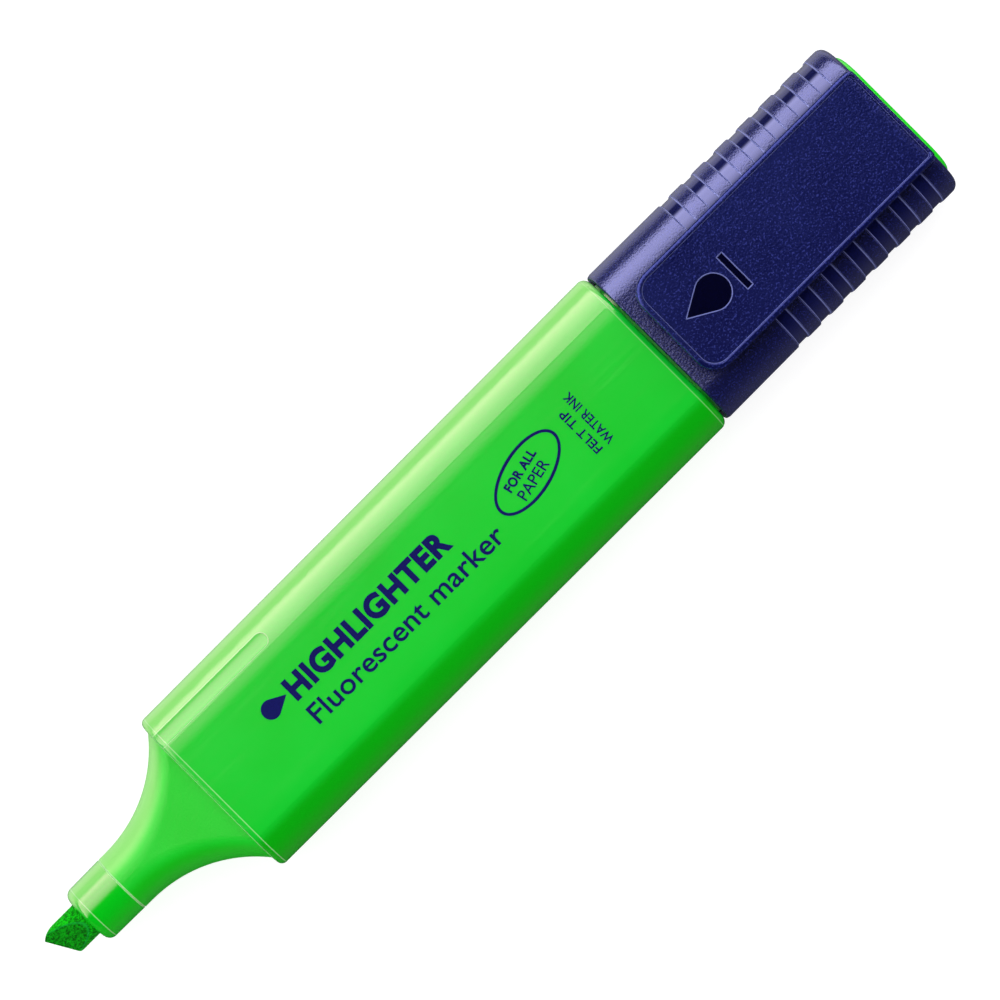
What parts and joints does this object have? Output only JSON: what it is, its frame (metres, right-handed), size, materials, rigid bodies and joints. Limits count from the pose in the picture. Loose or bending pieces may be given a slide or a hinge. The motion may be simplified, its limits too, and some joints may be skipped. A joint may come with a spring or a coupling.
{
  "type": "capped highlighter",
  "caption": "Flat felt-tip highlighter with a slanted chisel nib, a tapering neck and its clipped cap pushed onto the tail.",
  "frame": {"origin": "under the middle of the pen's overall length, on the surface that the barrel's plane back lies on", "axes": "+X from the nib to the cap's end, +Z out of the face that carries the clip, +Y across the pen"},
  "size_m": [0.1446, 0.025, 0.0179],
  "materials": {
    "barrel_plastic": "satin, fluorescent green",
    "neck_plastic": "finely textured, fluorescent green",
    "nozzle_plastic": "polished, fluorescent green",
    "felt": "sintered felt soaked with green ink",
    "fibre": "ink-soaked fibre",
    "film": "thin film",
    "cap_plastic": "spark-eroded navy, with polished grooves",
    "insert_plastic": "glossy bright green"
  },
  "bodies": {
    "pen_body": {"barrel": "barrel_plastic", "front_section": "neck_plastic", "nib_holder": "nozzle_plastic", "nib": "felt", "reservoir_core": "fibre", "reservoir_film": "film", "tail_plug": "neck_plastic"},
    "cap": {"cap_shell": "cap_plastic", "cap_inner_seal": "cap_plastic", "cap_end_insert": "insert_plastic"},
    "clip": {"clip": "cap_plastic"}
  },
  "joints": [
    {"name": "cap_slide", "type": "slide", "parent": "pen_body", "child": "cap", "axis": [1, 0, 0], "range_m": [0, 0.03]},
    {"name": "clip_flex", "type": "hinge", "parent": "cap", "child": "clip", "pos_m": [0.0701, 0, 0.0155], "axis": [0, 1, 0], "range_deg": [0, 5], "stiffness_Nm_per_rad": 2}
  ]
}
